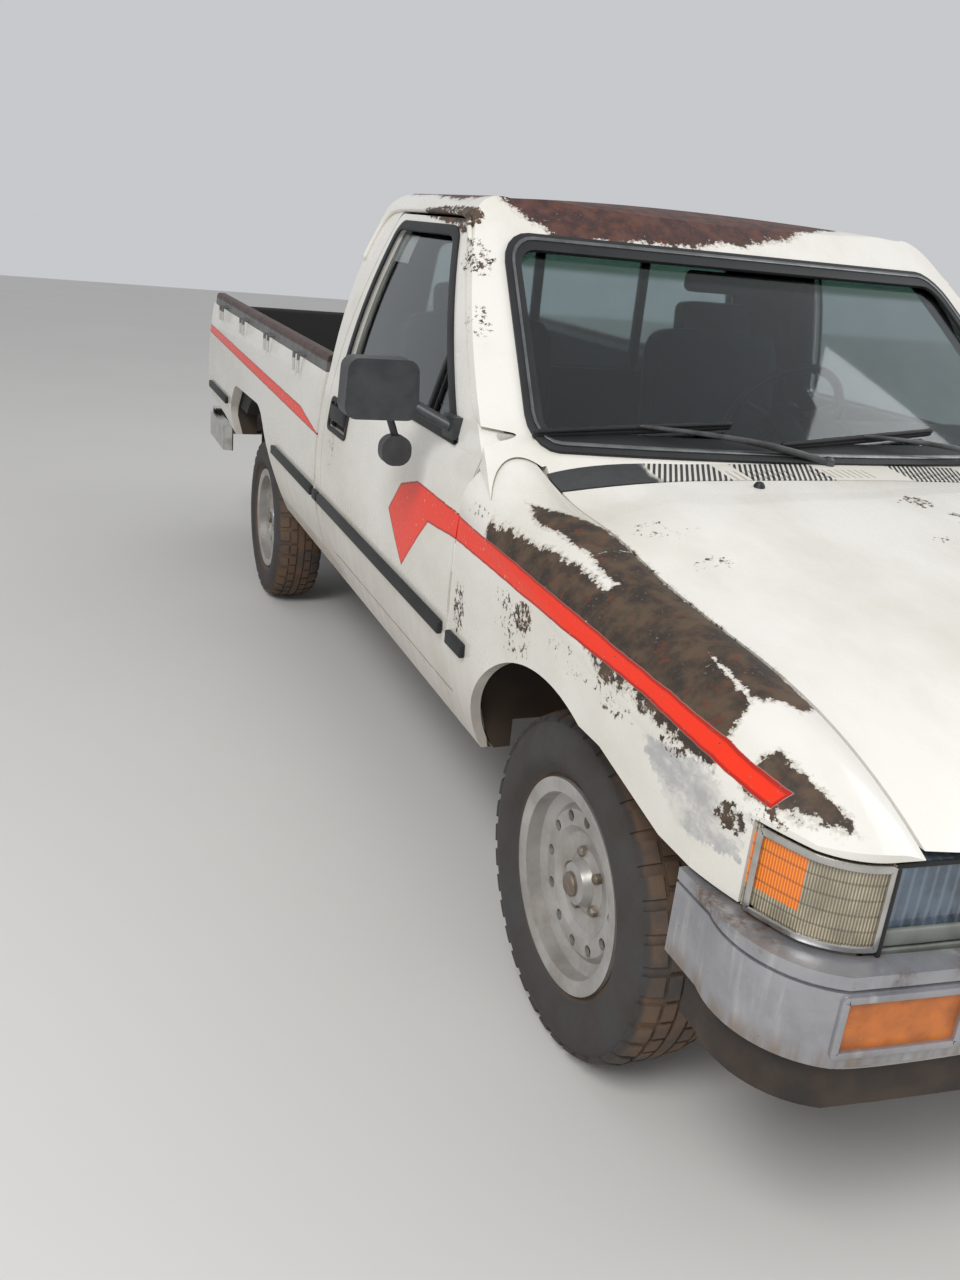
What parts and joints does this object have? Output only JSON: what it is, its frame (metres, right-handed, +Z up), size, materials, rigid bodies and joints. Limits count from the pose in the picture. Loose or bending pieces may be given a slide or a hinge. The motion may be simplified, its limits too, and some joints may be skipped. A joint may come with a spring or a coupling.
{
  "type": "pickup truck",
  "caption": "Single-cab pickup truck with an open load bed, opening doors, bonnet and tailgate, working steering and free-turning wheels.",
  "frame": {"origin": "on the ground, under the middle of the truck's length and width", "axes": "+X towards the driver's side (left), +Y rearwards, +Z up; the front faces -Y"},
  "size_m": [2.0574, 4.7913, 1.5474],
  "materials": {
    "body_paint": "aged gloss paint with rust",
    "window_glass": "clear",
    "cabin_plastic": "matte",
    "black_plastic": "matte",
    "grille_plastic": "matte",
    "seat_cloth": "woven",
    "lamp_glass": "ribbed",
    "amber_glass": "ribbed",
    "red_glass": "ribbed",
    "bumper_steel": "silver paint with rust",
    "bumper_chrome": "worn chrome",
    "rail_paint": "dull grey paint",
    "engine_iron": "cast",
    "casing_aluminium": "cast",
    "chassis_steel": "black paint",
    "exhaust_steel": "rusted",
    "flap_rubber": "matte",
    "wheel_paint": "silver paint",
    "tyre": "matte"
  },
  "bodies": {
    "truck": {"cab_shell": "body_paint", "windscreen_glass": "window_glass", "rear_window": "window_glass", "dashboard": "cabin_plastic", "seats": "seat_cloth", "floor_controls": "black_plastic", "interior_mirror": "black_plastic", "fender_left": "body_paint", "fender_right": "body_paint", "cowl_panel": "body_paint", "nose_panel": "body_paint", "grille": "grille_plastic", "headlamps": "lamp_glass", "corner_lamps": "amber_glass", "front_bumper": "bumper_steel", "bumper_lamps": "amber_glass", "front_valance": "black_plastic", "engine_block": "engine_iron", "gearbox": "casing_aluminium", "chassis_frame": "chassis_steel", "load_bed": "body_paint", "bed_rails": "rail_paint", "rear_bumper": "bumper_chrome", "tail_lamps": "red_glass", "fuel_tank": "chassis_steel", "exhaust": "exhaust_steel", "propshaft": "chassis_steel", "rear_axle": "chassis_steel", "leaf_springs": "chassis_steel", "front_arms": "chassis_steel", "spare_wheel": "tyre", "mud_flaps": "flap_rubber"},
    "bonnet": {"bonnet": "body_paint"},
    "door_left": {"door_left": "body_paint", "door_glass_left": "window_glass", "mirror_left": "black_plastic"},
    "door_right": {"door_right": "body_paint", "door_glass_right": "window_glass", "mirror_right": "black_plastic"},
    "tailgate": {"tailgate": "body_paint"},
    "steering_wheel": {"steering_wheel": "black_plastic"},
    "knuckle_left": {"knuckle_left": "chassis_steel"},
    "knuckle_right": {"knuckle_right": "chassis_steel"},
    "tie_rod": {"tie_rod": "chassis_steel"},
    "wheel_front_left": {"rim_front_left": "wheel_paint", "tyre_front_left": "tyre"},
    "wheel_front_right": {"rim_front_right": "wheel_paint", "tyre_front_right": "tyre"},
    "wheel_rear_left": {"rim_rear_left": "wheel_paint", "tyre_rear_left": "tyre"},
    "wheel_rear_right": {"rim_rear_right": "wheel_paint", "tyre_rear_right": "tyre"}
  },
  "joints": [
    {"name": "bonnet_hinge", "type": "hinge", "parent": "truck", "child": "bonnet", "pos_m": [0, -1.31043, 1.01485], "axis": [-1, 0, 0], "range_deg": [0, 52]},
    {"name": "door_left_hinge", "type": "hinge", "parent": "truck", "child": "door_left", "pos_m": [0.83, -1.13871, 0.71467], "axis": [0, 0.0288, -0.9996], "range_deg": [0, 65]},
    {"name": "door_right_hinge", "type": "hinge", "parent": "truck", "child": "door_right", "pos_m": [-0.83, -1.13871, 0.71467], "axis": [0, -0.0288, 0.9996], "range_deg": [0, 65]},
    {"name": "tailgate_hinge", "type": "hinge", "parent": "truck", "child": "tailgate", "pos_m": [0, 2.28452, 0.72124], "axis": [-1, 0, 0], "range_deg": [0, 90]},
    {"name": "steering", "type": "hinge", "parent": "truck", "child": "steering_wheel", "pos_m": [0.37, -0.53086, 1.00629], "axis": [0, 0.8938, 0.4485], "range_deg": [-600, 600]},
    {"name": "steer_left", "type": "hinge", "parent": "truck", "child": "knuckle_left", "pos_m": [0.612, -1.6425, 0.318], "axis": [0, 0, 1], "range_deg": [-32.1, 32.1]},
    {"name": "steer_right", "type": "hinge", "parent": "truck", "child": "knuckle_right", "pos_m": [-0.612, -1.6425, 0.318], "axis": [0, 0, 1], "range_deg": [-32.1, 32.1]},
    {"name": "tie_rod_slide", "type": "slide", "parent": "truck", "child": "tie_rod", "axis": [1, 0, 0], "range_m": [-0.0681, 0.0681]},
    {"name": "spin_front_left", "type": "hinge", "parent": "knuckle_left", "child": "wheel_front_left", "pos_m": [0.69, -1.6425, 0.318], "axis": [1, 0, 0], "continuous": true},
    {"name": "spin_front_right", "type": "hinge", "parent": "knuckle_right", "child": "wheel_front_right", "pos_m": [-0.69, -1.6425, 0.318], "axis": [1, 0, 0], "continuous": true},
    {"name": "spin_rear_left", "type": "hinge", "parent": "truck", "child": "wheel_rear_left", "pos_m": [0.682, 1.2075, 0.318], "axis": [1, 0, 0], "continuous": true},
    {"name": "spin_rear_right", "type": "hinge", "parent": "truck", "child": "wheel_rear_right", "pos_m": [-0.682, 1.2075, 0.318], "axis": [1, 0, 0], "continuous": true}
  ],
  "couplings": [
    {"joint": "steer_left", "follows": "steering", "ratio": 0.053333},
    {"joint": "steer_right", "follows": "steering", "ratio": 0.053333},
    {"joint": "tie_rod_slide", "follows": "steering", "m_per_rad": -0.0064773}
  ]
}
